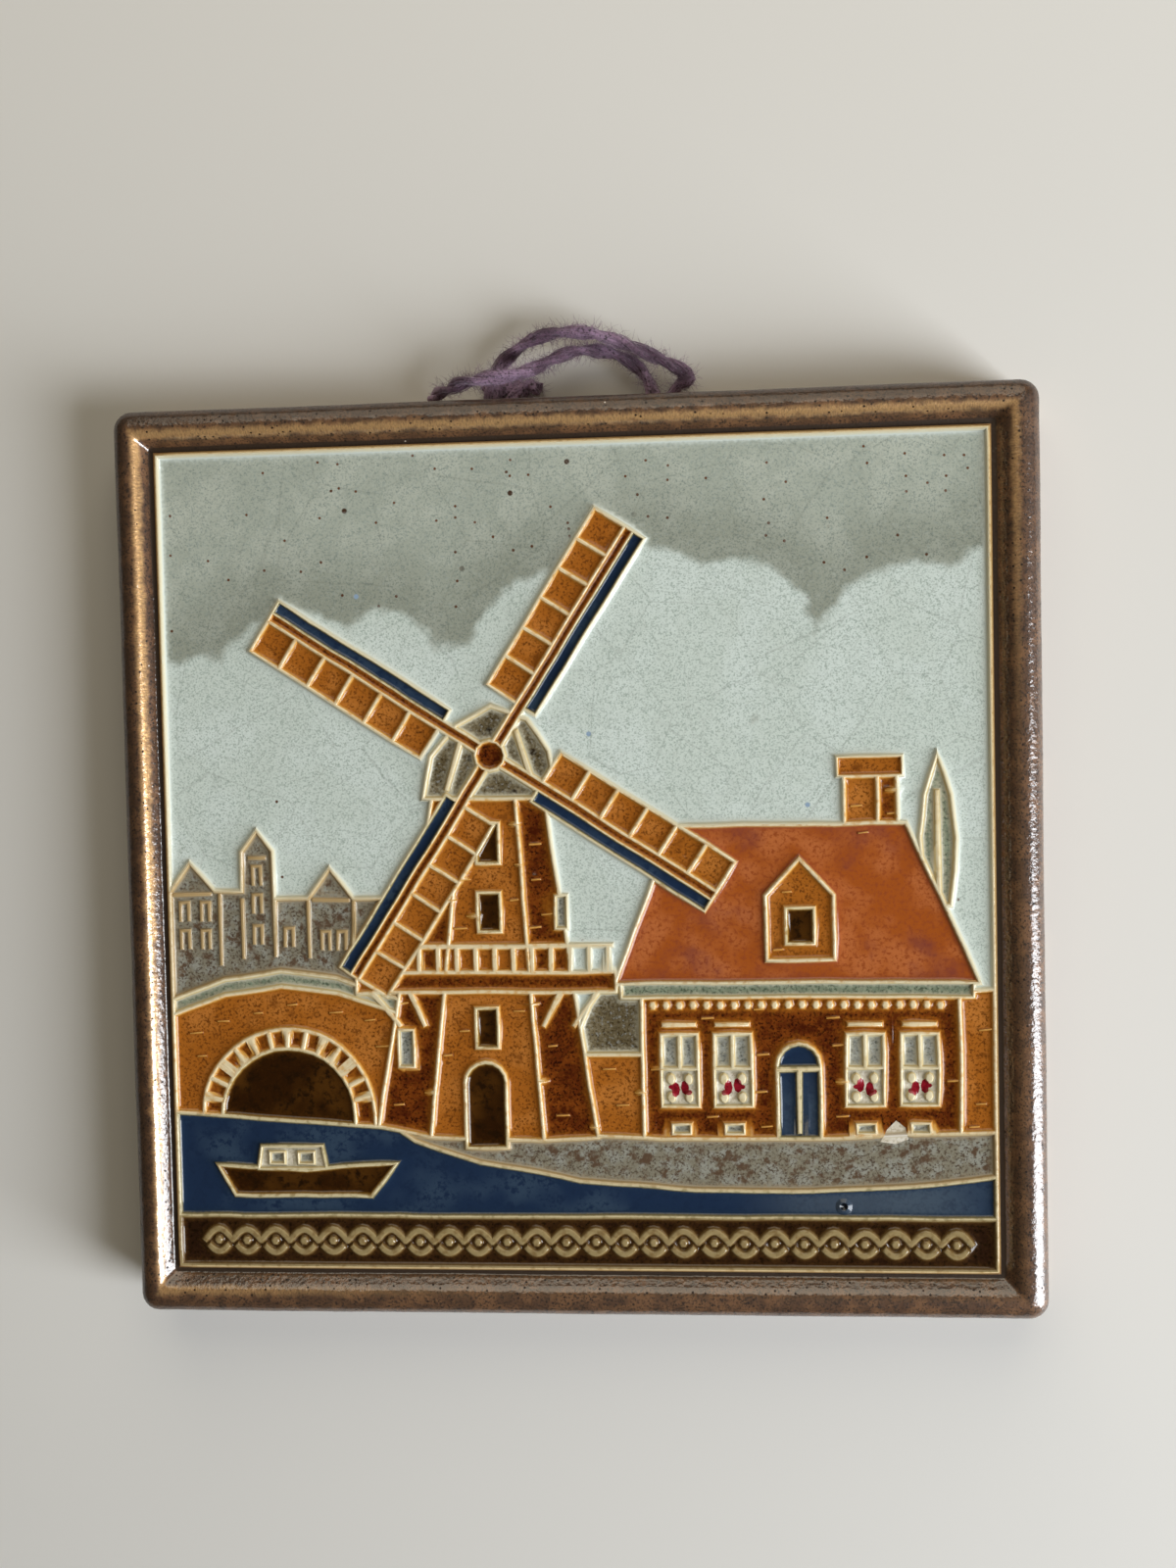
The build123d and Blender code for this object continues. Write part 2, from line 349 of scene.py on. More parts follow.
def mill():
    yield "brown", "cell", [(25.6, 17.6), (33.2, 58), (36.8, 58), (32, 16.4)]
    yield "ochre", "cell", [(32, 16.4), (36.8, 58), (43.2, 58), (45.8, 15.8)]
    yield "brown", "cell", [(45.8, 15.8), (43.2, 58), (46.6, 58), (52.4, 16.4)]
    yield "amber", "cell", arch(36.4, 41.4, 15, 23)
    for left, bottom in ((37.8, 27.2), (38.4, 41.4), (38.4, 49.6)):
        yield "amber", "cell", rectangle(left, bottom, left + 2.8, bottom + 4.8)
    yield "pane", "fine", rectangle(28.4, 25, 30.2, 29.4)
    yield "pane", "fine", rectangle(47.8, 41.6, 49.2, 45.6)
    yield "brown", "cell", rectangle(23.4, 34, 55, 36.4)
    for i in range(14):
        x = 24.2 + 2.3 * i
        yield ridge((x, 36.4), (x, 39.6))
    yield ridge((23.8, 39.6), (54.6, 39.6))
    for foot, head in ((25.4, 28.6), (30, 31.6), (48.2, 46.2), (52.8, 49.8)):
        yield ridge((foot, 34), (head, 30))
    yield "olive", "cell", [(32, 57.4), (33.2, 62.6), (36.4, 66.4), (40.6, 68.6), (45, 66.8),
                            (47.4, 63), (48.4, 57.4)]
    for foot, head in ((35, 37.2), (45.6, 43.6)):
        yield ridge((foot, 58.6), (head, 65.4))


def sails():
    """Four sails: a pole, a narrow windboard on one side and bays of lattice on the other."""
    hub = Vector((40.4, 62.6))
    pole = 0.55
    first_bay = 7.0
    bay = 4.1
    bays = 6
    tip = first_bay + bays * bay
    for angle in (57, 147, 237, 327):
        along = Vector((cos(radians(angle)), sin(radians(angle))))
        across = Vector((-along.y, along.x))

        def strip(start, end, near, far):
            return [tuple(hub + along * reach + across * side) for reach, side in
                    ((start, near), (end, near), (end, far), (start, far))]

        for number in range(bays):
            start = first_bay + number * bay
            yield "ochre", "cell", strip(start, start + bay, pole, 4.8)
        yield "cobalt", "fine", strip(first_bay, tip, -2.1, -pole)
        yield "brown", "fine", strip(1.0, tip, -pole, pole)
    yield "brown", "fine", ring(hub.x, hub.y, 1.8, 1.8, 12)


def barge():
    yield "amber", "cell", [(5.2, 13), (7.6, 9.2), (24.4, 9), (27.8, 13.2), (16.5, 12.2)]
    yield "white", "fine", [(10.6, 12.4), (11, 15.2), (18.6, 15.2), (19, 12.4)]
    for left in (12, 15.6):
        yield "pane", "fine", rectangle(left, 13, left + 1.9, 14.5)


def brick_courses():
    """Short raised ticks where a brick's edge shows on the walls."""
    rows = [
        # height, starts of the ticks
        (17.6, 51.4, 72.0, 96.6), (18.9, 47.4, 65.6, 81.0), (20.3, 27.6, 54.8, 97.4),
        (21.9, 31.4, 57.0, 71.4), (23.1, 45.2, 81.0, 94.0), (24.6, 53.2, 29.2, 59.0),
        (26.3, 3.2, 33.8, 71.6), (27.4, 25.6, 46.6, 80.6), (29.2, 2.4, 35.8, 97.8),
        (30.6, 5.8, 24.2, 65.2, 80.0), (31.6, 10.4, 19.8, 42.6, 71.4), (32.6, 14.6, 28.6, 44.6),
        (41.8, 35.4, 44.6), (43.3, 46.2, 37.0), (45.2, 34.6, 42.4), (47.6, 36.4, 45.0),
        (49.4, 35.0, 43.0), (51.8, 36.6, 44.8), (54.2, 35.2, 42.4), (38.9, 73.8), (45.8, 75.0),
        (52.6, 84.0), (55.8, 83.2), (57.6, 87.2), (54.8, 87.4),
    ]
    for number, (y, *starts) in enumerate(rows):
        for x in starts:
            reach = 1.0 + 0.55 * ((number * 7 + int(x)) % 5) / 4
            yield "tick", "tick", stroke([(x, y), (x + reach, y + 0.08)], 0.08)


def chip():
    """Flake broken out of the glaze at the foot of the wall, down to the pale clay."""
    yield "chip", "paint", [(86.1, 15.7), (86.9, 17.2), (88.0, 18.3), (89.1, 17.4), (89.4, 16.0),
                            (87.9, 15.4)]


def bottom_band():
    """Dark band with a twisted-cord border: two waves that pass under each other, and dots."""
    yield "band", "cell", rectangle(BORDER, BORDER, 100 - BORDER, 6.6)
    waves = 13
    start = 3.4
    span = (100 - 2 * start) / waves
    middle = 3.55
    for phase in (0, 180):
        for i in range(2 * waves):
            over = (i * 180 + phase) % 360 == 0
            first, last = (0.0, 1.0) if over else (0.16, 0.84)
            line = []
            for k in range(9):
                t = (i + first + (last - first) * k / 8) / 2
                line.append((start + span * t,
                             middle + 1.4 * sin(2 * pi * t + radians(phase))))
            yield "cord", "line", stroke(line, 0.3)
    for i in range(2 * waves):
        yield "cord", "line", ring(start + span * (i / 2 + 0.25), middle, 0.3, 0.3, 6)


def picture_shapes():
    """Shapes as (glaze, kind, outline). Kinds: cell, fine for small cells, FLAT and RIDGES."""
    yield "edge", "rim", rectangle(0, 0, 100, 100)
    yield "sky", "cell", rectangle(BORDER, BORDER, 100 - BORDER, 100 - BORDER)
    for motif in (background, farmhouse, bridge, canal, mill, brick_courses, sails, barge, chip,
                  bottom_band):
        yield from motif()


def subdivided(outline, step):
    """The outline with points no further apart than step, so that its lines can waver."""
    points = []
    for here, after in zip(outline, outline[1:] + outline[:1]):
        parts = max(1, int(dist(here, after) / step))
        for i in range(parts):
            points.append((here[0] + (after[0] - here[0]) * i / parts,
                           here[1] + (after[1] - here[1]) * i / parts))
    return points


def waver(x, y):
    """The mould cutter's hand: every line strays by about a tenth of a millimetre."""
    drift = noise.noise_vector(Vector((x, y, 0)) / 3.7) * 0.10
    drift += noise.noise_vector(Vector((x, y, 50)) / 11.0) * 0.16
    edge = min(x, y, 100 - x, 100 - y)
    hold = min(max((edge - 0.5) / 2, 0), 1)
    return x + drift.x * hold, y + drift.y * hold


# Section of a raised outline: distance from its crest and drop below it
SECTION = [(0.0, 0.0), (0.08, 0.012), (0.16, 0.06), (0.235, 0.15), (0.31, 0.27), (0.39, 0.37),
           (0.55, 0.44), (0.9, 0.48), (1.4, 0.50)]
FINE_WIDTH = 0.62           # outlines inside small cells are thinner
FLAT = ("paint",)           # kinds that are only painted, with no outline of their own
RIDGES = {
    # thin shapes that are only a ridge: share of the section's width, drop of the crest
    "line": (1.0, 0.0),
    "low": (0.7, 0.2),
    "tick": (0.32, 0.26),
}
FULL_RIDGE = (1.0, 0.0)     # the same for the outline between two cells
CELL_STEP = 2.1             # spacing of the points along an outline
RIDGE_STEP = 5.0            # and along a shape that is only a ridge
SHARPEST = 0.35             # sine of half the sharpest corner that an inner line follows
RIM_REACH = 0.34            # the slope of the panel's rim has inner lines only this far out
CLEARANCE = 0.85            # an inner line keeps this share of its distance from other crests
EDGE_DROP = 0.5             # from the panel's edge down into the groove
MERGED = 0.004              # points closer than this become one
SEED = 4                    # of the noise that makes lines and clay uneven
SPILL_LIMIT = 1.0           # square millimetres


def section_drop(distance):
    for (d0, drop0), (d1, drop1) in zip(SECTION, SECTION[1:]):
        if distance < d1:
            return drop0 + (drop1 - drop0) * (distance - d0) / (d1 - d0)
    return SECTION[-1][1]


class OutlineMap:
    """Finds how the glaze lies at any place on the panel from the crest lines near it."""

    def __init__(self, segments):
        self.reach = SECTION[-1][0]
        self.bins = {}
        for segment in segments:
            (x0, y0), (x1, y1) = segment[:2]
            for i in range(int(min(x0, x1) // self.reach) - 1, int(max(x0, x1) // self.reach) + 2):
                for j in range(int(min(y0, y1) // self.reach) - 1,
                               int(max(y0, y1) // self.reach) + 2):
                    self.bins.setdefault((i, j), []).append(segment)

    def near(self, x, y):
        """Distances to the crest lines near a place, as shares of their own section."""
        for start, end, width, crest in self.bins.get((int(x // self.reach),
                                                       int(y // self.reach)), ()):
            dx = end.x - start.x
            dy = end.y - start.y
            t = ((x - start.x) * dx + (y - start.y) * dy) / max(dx * dx + dy * dy, 1e-12)
            t = min(max(t, 0), 1)
            yield hypot(x - start.x - t * dx, y - start.y - t * dy) / width, crest

    def distance(self, x, y):
        return min((distance for distance, _ in self.near(x, y)), default=self.reach)

    def drop(self, x, y, width):
        deepest = SECTION[-1][1]
        return min((crest + section_drop(distance / width) * (1 - crest / deepest)
                    for distance, crest in self.near(x, y)), default=deepest)


def heading(start, end):
    return atan2(end.y - start.y, end.x - start.x)


def crest_graph(spots, triangles, owners, kinds):
    """Crest lines: for each end, its neighbours in turning order, and the cell on each left."""
    left_cell = {}
    for (a, b, c), owner in zip(triangles, owners):
        for edge in ((a, b), (b, c), (c, a)):
            left_cell[edge] = max(cell for cell in owner if kinds[cell] not in FLAT)
    around = {}
    for (a, b), cell in left_cell.items():
        if (b, a) in left_cell and left_cell[b, a] != cell:
            around.setdefault(a, []).append(b)
    for here, others in around.items():
        others.sort(key=lambda i: heading(spots[here], spots[i]))
    return around, left_cell


def inner_lines(spots, around, left_cell, kinds, outlines):
    """Lines that run beside every crest line, one for each bend of the ridge's section."""
    points = []
    lines = []
    index = {}

    def corner(here, start, distance):
        others = around[here]
        after = others[(others.index(start) + 1) % len(others)]
        a0 = heading(spots[here], spots[start])
        sector = (heading(spots[here], spots[after]) - a0) % (2 * pi) or 2 * pi
        reach = distance / max(sin(sector / 2), SHARPEST)
        key = (here, start, distance)
        if key not in index:
            index[key] = len(points)
            points.append(spots[here] + Vector((cos(a0 + sector / 2),
                                                sin(a0 + sector / 2))) * reach)
        return index[key]

    for here, others in around.items():
        for there in others:
            kind = kinds[left_cell[here, there]]
            if kind in RIDGES:
                continue
            beyond = RIDGES.get(kinds[left_cell[there, here]], FULL_RIDGE)[0]
            width = FINE_WIDTH if kind == "fine" else 1.0
            back = around[there]
            before = back[back.index(here) - 1]
            for distance, _ in SECTION[1:]:
                if kind == "rim" and distance > RIM_REACH:
                    continue
                first = corner(here, there, distance * width * beyond)
                last = corner(there, before, distance * width * beyond)
                middle = (points[first] + points[last]) / 2
                if outlines.distance(*middle) > CLEARANCE * distance * width:
                    lines.append((first, last))
    return points, lines


def signed_area(loop):
    return sum(here[0] * after[1] - after[0] * here[1]
               for here, after in zip(loop, loop[1:] + loop[:1])) / 2


def drawn_outlines(shapes):
    """Points of the outlines as the hand draws them, and the numbers of each outline's points."""
    points = []
    faces = []
    for _, kind, outline in shapes:
        loop = subdivided(outline, RIDGE_STEP if kind in RIDGES else CELL_STEP)
        if signed_area(loop) < 0:
            loop.reverse()
        faces.append(list(range(len(points), len(points) + len(loop))))
        points.extend(Vector(waver(*point)) * PANEL / 100 for point in loop)
    return points, faces


def triangulated(points, lines, faces):
    """Places, triangles, and for each triangle the numbers of the shapes that cover it."""
    spots, _, triangles, _, _, owners = delaunay_2d_cdt(points, lines, faces, 1, MERGED, True)
    return spots, triangles, owners


def crest_segments(spots, around, left_cell, kinds):
    """Crest lines with the share of the section's width and the drop of their crest."""
    crests = []
    for here, others in around.items():
        for there in others:
            if here < there:
                width, crest = min(RIDGES.get(kinds[left_cell[edge]], FULL_RIDGE)
                                   for edge in ((here, there), (there, here)))
                crests.append((spots[here], spots[there], width, crest))
    return crests


def spilled(points, faces, spots, triangles, owners):
    """Square millimetres by which the worst shape covers more or less than its outline."""
    covered = [0.0] * len(faces)
    for triangle, owner in zip(triangles, owners):
        for cell in owner:
            covered[cell] += abs(signed_area([spots[i] for i in triangle]))
    return max(abs(area - signed_area([points[i] for i in face]))
               for area, face in zip(covered, faces))


def make_picture(seed):
    """The panel in relief. Where two lines cross in a bad place, one glaze can spill over the
    others. Then each line strays a little differently, with the next seed."""
    noise.seed_set(seed)
    shapes = list(picture_shapes())
    kinds = [kind for _, kind, _ in shapes]
    points, faces = drawn_outlines(shapes)
    spots, triangles, owners = triangulated(points, [], faces)
    around, left_cell = crest_graph(spots, triangles, owners, kinds)
    outlines = OutlineMap(crest_segments(spots, around, left_cell, kinds))
    extra, lines = inner_lines(spots, around, left_cell, kinds, outlines)
    lines = [(a + len(points), b + len(points)) for a, b in lines]
    spots, triangles, owners = triangulated(points + extra, lines, faces)
    if spilled(points, faces, spots, triangles, owners) > SPILL_LIMIT:
        return make_picture(seed + 1)

    glazes = sorted({name for name, _, _ in shapes})
    width = [1.0] * len(spots)
    crest = [SECTION[-1][1]] * len(spots)
    for triangle, owner in zip(triangles, owners):
        kind = kinds[max(owner)] if owner else "rim"
        for i in triangle:
            if kind in ("fine",) + FLAT:
                width[i] = FINE_WIDTH
            if kind in RIDGES:
                crest[i] = RIDGES[kind][1]
    piece = new_piece("glazed_picture")
    edit = bmesh.from_edit_mesh(piece.data)
    corner = Vector((PANEL_X - PANEL / 2, PANEL_Y - PANEL / 2))
    verts = []
    for i, spot in enumerate(spots):
        drop = min(outlines.drop(*spot, width[i]), crest[i])
        place = corner + spot
        verts.append(edit.verts.new(Vector((place.x, place.y, RIDGE_Z - drop)) * MM))
    made = set()
    for triangle, owner in zip(triangles, owners):
        corners = frozenset(triangle)
        if owner and len(corners) == 3 and corners not in made:
            made.add(corners)
            face = edit.faces.new([verts[i] for i in triangle])
            face.material_index = glazes.index(shapes[max(owner)][0])
    bmesh.update_edit_mesh(piece.data)

    # Edge of the panel, down into the groove
    bpy.ops.mesh.select_mode(type="EDGE")
    bpy.ops.mesh.select_all(action="DESELECT")
    bpy.ops.mesh.select_non_manifold(extend=False, use_wire=False, use_multi_face=False,
                                     use_non_contiguous=False, use_verts=False)
    bpy.ops.mesh.extrude_region_move(TRANSFORM_OT_translate={"value": (0, 0, -EDGE_DROP * MM)})
    bpy.ops.object.mode_set(mode="OBJECT")
    for name in glazes:
        piece.data.materials.append(GLAZES[name])
    return piece


# Hanging yarn

YARN_DIAMETER = 1.4
STRAND_GAP = 0.25           # between the two strands in a hole
PLY_RADIUS = 0.42
PLY_TWIST = 9.5             # length of one full turn of the two plies
FIBRE_STEP = 3              # points of the ply between two points of a lying fibre
FIBRE_REACH = 26            # points of the ply that its longest fibre needs


def yarn_points():
    """The yarn's route from its loose tail. The arches lie closer together than in the solid
    model, and the tail lies higher, up in the light, as the photograph shows them."""
    left = HOLE_X - HOLE_SPACING / 2
    right = HOLE_X + HOLE_SPACING / 2
    side = (YARN_DIAMETER + STRAND_GAP) / 2
    rim = TILE_HEIGHT / 2
    inner = rim - FOOT_WIDTH
    tail = [
        (-17.0, rim + 1.1, 2.8),
        (-14.4, rim + 1.7, 6.2),
        (-11.2, rim + 2.1, 8.5),
        (-7.9, rim + 2.2, 9.2),
        (-5.0, rim + 2.7, 8.2),
        (-2.6, rim + 4.2, 5.8),
    ]
    inner_arch = [
        (0.6, rim + 6.0, 3.9),
        (4.4, rim + 5.9, 3.2),
        (8.0, rim + 4.3, 2.9),
        (right - side, rim + 1.0, HOLE_Z),
    ]
    first_return = [
        (right - side, inner - 0.8, HOLE_Z),
        (right - side - 2.2, inner - 4.2, 3.7),
        (right - side - 6.6, inner - 5.8, 3.9),
        (0.0, inner - 5.4, 3.9),
        (left - side + 5.0, inner - 5.0, 3.9),
        (left - side + 1.4, inner - 3.6, 3.7),
    ]
    outer_arch = [
        (left - side, inner - 0.6, HOLE_Z),
        (left - side, rim + 1.0, HOLE_Z),
        (-9.0, rim + 4.4, 2.6),
        (-5.4, rim + 6.9, 4.4),
        (-1.0, rim + 8.1, 5.2),
        (3.4, rim + 7.7, 5.0),
        (7.8, rim + 5.9, 4.4),
        (11.8, rim + 4.1, 3.6),
        (15.0, rim + 2.2, 3.2),
        (right + side, rim + 1.0, HOLE_Z),
    ]
    second_return = [
        (right + side, inner - 0.8, HOLE_Z),
        (right + side - 1.0, inner - 4.6, 1.5),
        (right - 4.0, inner - 8.4, 1.1),
        (right - 8.6, inner - 10.0, 1.1),
        (-3.0, inner - 8.8, 1.1),
        (left + side + 1.2, inner - 4.6, 1.5),
    ]
    knot_end = [
        (left + side, inner - 0.6, HOLE_Z),
        (left + side, rim + 1.0, HOLE_Z),
        (-5.0, rim + 2.4, 2.0),
    ]
    return tail + inner_arch + first_return + outer_arch + second_return + knot_end


def smooth_line(points, resolution):
    """Points read from the smooth spline that has the given control points."""
    curve = bpy.data.curves.new("route", "CURVE")
    curve.dimensions = "3D"
    spline = curve.splines.new("NURBS")
    spline.points.add(len(points) - 1)
    for point, place in zip(spline.points, points):
        point.co = (*(Vector(place) * MM), 1)
    spline.order_u = 3
    spline.use_endpoint_u = True
    spline.resolution_u = resolution
    holder = linked("route", curve)
    mesh = bpy.data.meshes.new_from_object(holder)
    line = [vert.co / MM for vert in mesh.vertices]
    bpy.data.objects.remove(holder)
    return line


def stations(line):
    """For each point of a line: its place, two directions across it, and the length up to it."""
    found = []
    side = (line[1] - line[0]).orthogonal().normalized()
    travelled = 0.0
    for i, here in enumerate(line):
        ahead = (line[min(i + 1, len(line) - 1)] - line[max(i - 1, 0)]).normalized()
        side = (side - ahead * side.dot(ahead)).normalized()
        if i:
            travelled += (here - line[i - 1]).length
        found.append((here, side, ahead.cross(side), travelled))
    return found


def clear_of_clay(place):
    """Whether a fibre's point is outside the tile or in its hollow back."""
    rim = TILE_HEIGHT / 2
    if not 0.08 < place.z < 10.9:
        return False
    return place.y > rim + 0.15 or (place.y < rim - FOOT_WIDTH - 0.2 and place.z < RECESS_Z - 0.15)


def strands(name, lines, sides):
    """A mesh of round strands. Each line is a list of (place, radius)."""
    curve = bpy.data.curves.new(name, "CURVE")
    curve.dimensions = "3D"
    curve.bevel_depth = MM
    curve.bevel_resolution = sides // 2 - 2
    curve.use_fill_caps = True
    for line in lines:
        spline = curve.splines.new("POLY")
        spline.points.add(len(line) - 1)
        for point, (place, radius) in zip(spline.points, line):
            point.co = (*(place * MM), 1)
            point.radius = radius
    select_only(linked(name, curve))
    bpy.ops.object.convert(target="MESH")
    return bpy.context.object


def outward(side, up, turn):
    return side * cos(turn) + up * sin(turn)


def twisted_plies(places):
    """Two plies that wind loosely round the route, thicker and thinner by turns."""
    plies = []
    for phase in (0.0, pi):
        ply = []
        for here, side, up, travelled in places:
            turn = phase + 2 * pi * travelled / PLY_TWIST + 0.5 * sin(travelled / 3.7)
            spread = 0.33 + 0.08 * sin(travelled / 5.3 + 1.0)
            radius = PLY_RADIUS * (1 + 0.09 * sin(travelled * 1.3 + 4 * phase))
            ply.append((here + outward(side, up, turn) * spread, radius))
        plies.append(ply)
    return plies


def lying_fibres(places, plies, number, chance):
    """Fibres that lie along the plies."""
    fibres = []
    for i in range(number):
        ply = plies[i % len(plies)]
        start = chance.randrange(len(ply) - FIBRE_REACH)
        count = chance.randrange(4, 9)
        angle = chance.uniform(0, 2 * pi)
        creep = chance.uniform(-0.3, 0.5)
        lift = chance.uniform(0.95, 1.45)
        fibre = []
        for k in range(count):
            _, side, up, _ = places[start + FIBRE_STEP * k]
            centre, radius = ply[start + FIBRE_STEP * k]
            reach = radius * lift * chance.uniform(0.94, 1.12)
            place = centre + outward(side, up, angle + creep * k) * reach
            fibre.append((place, 0.034 if 0 < k < count - 1 else 0.012))
        fibres.append(fibre)
    return fibres


def standing_hairs(places, number, reach, chance):
    """Curly hairs that stand off, clear of the tile and the ground."""
    hairs = []
    while len(hairs) < number:
        here, side, up, _ = places[chance.randrange(2, len(places) - 2)]
        out = outward(side, up, chance.uniform(0, 2 * pi))
        length = reach * chance.uniform(0.35, 1.0) ** 1.5
        drift = side.cross(up) * chance.uniform(-1.0, 1.0) + out * chance.uniform(0.35, 1.0)
        curl = Vector([chance.uniform(-1, 1) for _ in range(3)])
        place = here + out * 0.5
        hair = []
        for k in range(3):
            hair.append((place.copy(), 0.022 * (1 - 0.35 * k)))
            place += (drift + curl * 0.8 * k).normalized() * length / 2
        if all(clear_of_clay(spot) for spot, _ in hair):
            hairs.append(hair)
    return hairs


def fluffy(name, line, fibres, hairs, chance):
    """Yarn along a line, all in one mesh."""
    places = stations(line)
    plies = twisted_plies(places)
    piece = strands(name, plies, 8)
    fluff = (lying_fibres(places, plies, fibres, chance)
             + standing_hairs(places, hairs, 2.0, chance))
    strands(name + "_fluff", fluff, 4)
    piece.select_set(True)
    bpy.context.view_layer.objects.active = piece
    bpy.ops.object.join()
    return piece


def make_yarn():
    """The hanging yarn, and the tangle that its ends are knotted into beside the left hole."""
    chance = random.Random(11)
    line = smooth_line(yarn_points(), 10)
    piece = fluffy("mauve_yarn", line, 1100, 5200, chance)
    tangle = []
    for i in range(21):
        turn = radians(107 * i)
        tangle.append((-10.6 + 0.33 * i, TILE_HEIGHT / 2 + 2.0 + 0.62 * cos(turn),
                       1.7 + 0.75 * sin(turn)))
    knot = fluffy("yarn_knot", smooth_line(tangle, 6), 160, 900, chance)
    return piece, knot


# Materials


def put(socket, value):
    """Links a node's first output to an input, or sets the input to a value."""
    if isinstance(value, bpy.types.Node):
        value = next(output for output in value.outputs if output.enabled)
    if isinstance(value, bpy.types.NodeSocket):
        socket.id_data.links.new(value, socket)
    else:
        socket.default_value = value


def feed(node, **named):
    for key, value in named.items():
        name = key.replace("_", " ")
        socket = next(inlet for inlet in node.inputs if inlet.enabled and inlet.name == name)
        put(socket, value)


def add(kind, settings, *values, **named):
    """Adds a node with its settings to the tree that its values come from. The values go to its
    inputs in turn or by name."""
    tree = next(value.id_data for value in (*values, *named.values())
                if isinstance(value, (bpy.types.Node, bpy.types.NodeSocket)))
    node = tree.nodes.new("ShaderNode" + kind)
    for key, setting in settings.items():
        setattr(node, key, setting)
    for socket, value in zip([socket for socket in node.inputs if socket.enabled], values):
        put(socket, value)
    feed(node, **named)
    return node


def calc(operation, *values, **settings):
    return add("Math", {"operation": operation, **settings}, *values)


def product(value, *factors):
    for factor in factors:
        value = calc("MULTIPLY", value, factor)
    return value


def ramp(value, *limits):
    """Soft step of a value from its first limit to its second, to 0 and 1 or the other two."""
    return add("MapRange", {"interpolation_type": "SMOOTHSTEP"}, value, *limits)


def mix(share, under, over):
    """Two colours mixed. Each is a node or a hex code."""
    colours = [srgb(colour) if isinstance(colour, str) else colour for colour in (under, over)]
    return add("Mix", {"data_type": "RGBA"}, share, *colours)


def clouds(place, size, detail, **named):
    return add("TexNoise", {}, Vector=place, Scale=1 / size, Detail=detail, **named)


def bump(depth, height, **named):
    named = {"Strength": 1.0, "Distance": depth * MM, "Height": height, **named}
    return add("Bump", {}, **named)


def away(place, point):
    """Distance from a point."""
    return add("VectorMath", {"operation": "DISTANCE"}, place, point).outputs["Value"]


def new_material(name, roughness):
    """A material, its shader, and the place on the object in millimetres."""
    material = bpy.data.materials.new(name)
    material.use_nodes = True
    nodes = material.node_tree.nodes
    shader = nodes["Principled BSDF"]
    feed(shader, Roughness=roughness)
    place = nodes.new("ShaderNodeTexCoord").outputs["Object"]
    place = add("VectorMath", {"operation": "SCALE"}, place, Scale=1 / MM)
    return material, shader, place


def mottled(place, dark, main, light, patch, grain):
    """Broad lighter patches under a fine dark grain."""
    patches = clouds(place, patch, 2.0)
    grains = clouds(place, grain, 3.0, Roughness=0.65)
    colour = mix(ramp(patches, 0.42, 0.64), main, light)
    return mix(ramp(grains, 0.46, 0.66), colour, dark), grains


def blotched(place, colour, tint, size, share, soft=0.08):
    """Blotches of another tint about size across; share is how much of the glaze they take."""
    shapes = clouds(place, size, 4.0, Roughness=0.6)
    start = 0.62 - share * 0.24
    return mix(ramp(shapes, start, start + soft), colour, tint)


def dots(place, spacing, size, share, dimensions="2D"):
    """Where scattered round dots lie: about size across, on a share of a rough grid's cells."""
    grid = add("TexVoronoi", {"voronoi_dimensions": dimensions}, Vector=place, Scale=1 / spacing)
    chosen = calc("LESS_THAN", add("SeparateXYZ", {}, grid.outputs["Color"]), share)
    return product(chosen, ramp(grid, size / spacing * 0.65, size / spacing * 0.4))


def dotted(place, colour, dot, *pattern):
    return mix(dots(place, *pattern), colour, dot)


def over_outlines(shader, place, colour, glow, thin, body):
    """Beside a raised outline the glaze thins to a glow and then to a light rim, and the clay
    shows on the crest."""
    height = add("SeparateXYZ", {}, place).outputs["Z"]
    height = calc("MULTIPLY_ADD", clouds(place, 0.4, 3.0), 0.14, height)
    top = RIDGE_Z + 0.07
    stain = ramp(clouds(place, 0.9, 4.0), 0.46, 0.70, 0.0, 0.7)
    clay = mix(stain, body, thin)
    for tint, start, full in ((glow, 0.505, 0.38), (thin, 0.42, 0.22), (clay, 0.19, 0.04)):
        colour = mix(ramp(height, top - start, top - full), colour, tint)
    feed(shader, Base_Color=colour)


def glossy_waves(shader, place, grains, depth=0.012):
    """Faint orange peel, so that the glaze glints unevenly."""
    swell = bump(0.05, clouds(place, 2.2, 2.0))
    feed(shader, Normal=bump(depth, grains, Normal=swell))


GOLD = ("#a8641c", "#d8a250", "#ecd9b0")        # glow, rim and clay in warm glazes
PALE = ("#c2bda6", "#d6c08c", "#e6dab6")        # and in pale ones
DULL = ("#4a3014", "#7a6038", "#a08c62")        # and in the dark band
STONE = ("#a0937a", "#b89c6e", "#d6c298")       # and in the stone


def glaze(name, dark, main, light, patch, grain, edges=GOLD, blotch=None, roughness=0.16,
          specks=None):
    """A glaze that is mottled in three colours, and thins beside the raised outlines."""
    material, shader, place = new_material(name, roughness)
    colour, grains = mottled(place, dark, main, light, patch, grain)
    if blotch:
        colour = blotched(place, colour, *blotch)
    if specks:
        colour = dotted(place, colour, *specks)
    over_outlines(shader, place, colour, *edges)
    glossy_waves(shader, place, grains)
    return material


